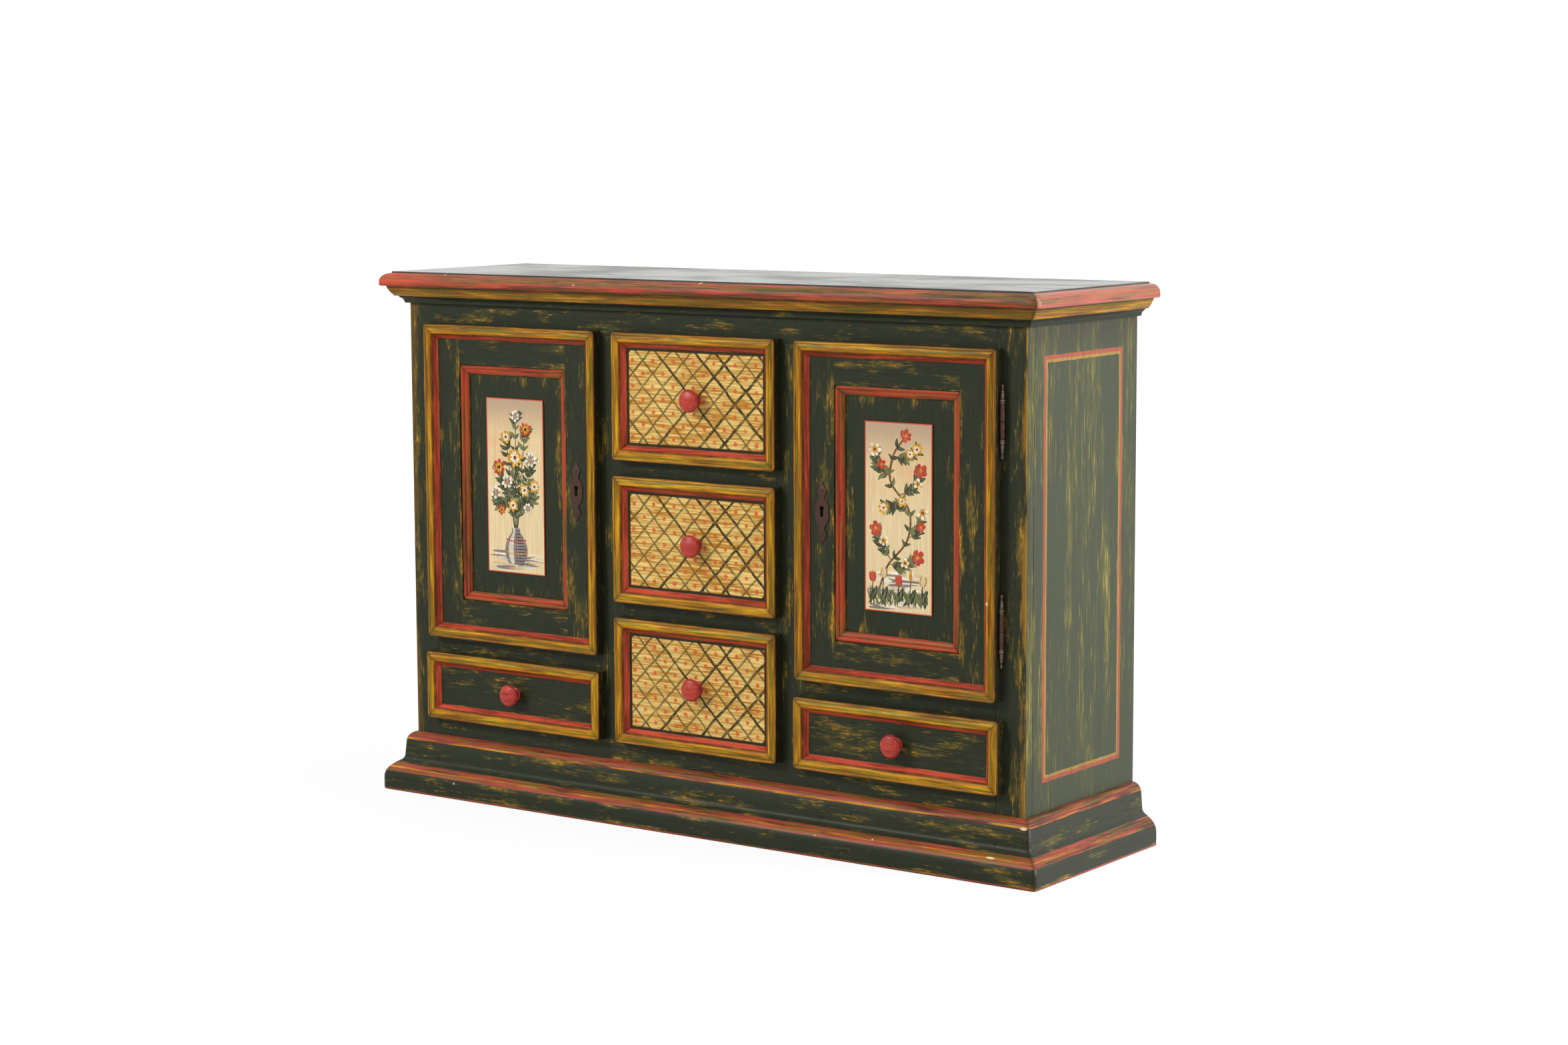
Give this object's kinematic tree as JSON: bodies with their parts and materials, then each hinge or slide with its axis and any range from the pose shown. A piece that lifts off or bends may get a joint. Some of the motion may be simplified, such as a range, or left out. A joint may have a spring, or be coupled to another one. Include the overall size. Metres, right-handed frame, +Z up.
{
  "type": "painted credenza",
  "caption": "Painted wooden credenza with panelled doors, shallow drawers under them and deep drawers between, on a moulded plinth under a moulded top.",
  "frame": {"origin": "on the floor, under the middle of the whole piece", "axes": "+X along the width to the right seen from the front, +Y towards the back, +Z up"},
  "size_m": [1.468, 0.417, 1],
  "materials": {
    "green_paint": "worn dark green paint, varnished",
    "ochre_paint": "worn ochre paint, varnished",
    "red_paint": "worn red paint, varnished",
    "cream_paint": "cream paint with a lattice of green lines",
    "bare_wood": "unfinished pine",
    "iron": "dark brown iron"
  },
  "bodies": {
    "carcass": {"top_board": "green_paint", "top_nosing": "red_paint", "cornice": "ochre_paint", "plinth_front": "green_paint", "plinth_returns": "green_paint", "left_side": "green_paint", "right_side": "green_paint", "face_frame_stiles": "green_paint", "face_frame_rails": "green_paint", "partitions": "bare_wood", "bottom_board": "bare_wood", "cupboard_floors": "bare_wood", "shelves": "bare_wood", "shelf_pins": "bare_wood", "back_boards": "bare_wood", "drawer_runners": "bare_wood", "drawer_guides": "bare_wood", "hinge_frame_halves": "iron", "hinge_pins": "iron"},
    "left_door": {"left_door_frame": "green_paint", "left_door_panel": "green_paint", "left_door_moulding": "ochre_paint", "left_door_bead": "red_paint", "left_door_hinge_halves": "iron", "left_door_escutcheon": "iron", "left_door_lock_case": "iron"},
    "left_lock_bolt": {"left_door_lock_bolt": "iron"},
    "right_door": {"right_door_frame": "green_paint", "right_door_panel": "green_paint", "right_door_moulding": "ochre_paint", "right_door_bead": "red_paint", "right_door_hinge_halves": "iron", "right_door_escutcheon": "iron", "right_door_lock_case": "iron"},
    "right_lock_bolt": {"right_door_lock_bolt": "iron"},
    "upper_drawer": {"upper_drawer_front": "cream_paint", "upper_drawer_moulding": "ochre_paint", "upper_drawer_box": "bare_wood", "upper_drawer_bottom": "bare_wood", "upper_drawer_knob": "red_paint"},
    "middle_drawer": {"middle_drawer_front": "cream_paint", "middle_drawer_moulding": "ochre_paint", "middle_drawer_box": "bare_wood", "middle_drawer_bottom": "bare_wood", "middle_drawer_knob": "red_paint"},
    "lower_drawer": {"lower_drawer_front": "cream_paint", "lower_drawer_moulding": "ochre_paint", "lower_drawer_box": "bare_wood", "lower_drawer_bottom": "bare_wood", "lower_drawer_knob": "red_paint"},
    "left_drawer": {"left_drawer_front": "green_paint", "left_drawer_moulding": "ochre_paint", "left_drawer_box": "bare_wood", "left_drawer_bottom": "bare_wood", "left_drawer_knob": "red_paint"},
    "right_drawer": {"right_drawer_front": "green_paint", "right_drawer_moulding": "ochre_paint", "right_drawer_box": "bare_wood", "right_drawer_bottom": "bare_wood", "right_drawer_knob": "red_paint"}
  },
  "joints": [
    {"name": "left_door_hinge", "type": "hinge", "parent": "carcass", "child": "left_door", "pos_m": [-0.6405, -0.167, 0.604], "axis": [0, 0, -1], "range_deg": [0, 120]},
    {"name": "left_lock_bolt_slide", "type": "slide", "parent": "left_door", "child": "left_lock_bolt", "axis": [1, 0, 0], "range_m": [0, 0.0095]},
    {"name": "right_door_hinge", "type": "hinge", "parent": "carcass", "child": "right_door", "pos_m": [0.6405, -0.167, 0.604], "axis": [0, 0, 1], "range_deg": [0, 120]},
    {"name": "right_lock_bolt_slide", "type": "slide", "parent": "right_door", "child": "right_lock_bolt", "axis": [-1, 0, 0], "range_m": [0, 0.0095]},
    {"name": "upper_drawer_slide", "type": "slide", "parent": "carcass", "child": "upper_drawer", "axis": [0, -1, 0], "range_m": [0, 0.24]},
    {"name": "middle_drawer_slide", "type": "slide", "parent": "carcass", "child": "middle_drawer", "axis": [0, -1, 0], "range_m": [0, 0.24]},
    {"name": "lower_drawer_slide", "type": "slide", "parent": "carcass", "child": "lower_drawer", "axis": [0, -1, 0], "range_m": [0, 0.24]},
    {"name": "left_drawer_slide", "type": "slide", "parent": "carcass", "child": "left_drawer", "axis": [0, -1, 0], "range_m": [0, 0.24]},
    {"name": "right_drawer_slide", "type": "slide", "parent": "carcass", "child": "right_drawer", "axis": [0, -1, 0], "range_m": [0, 0.24]}
  ]
}
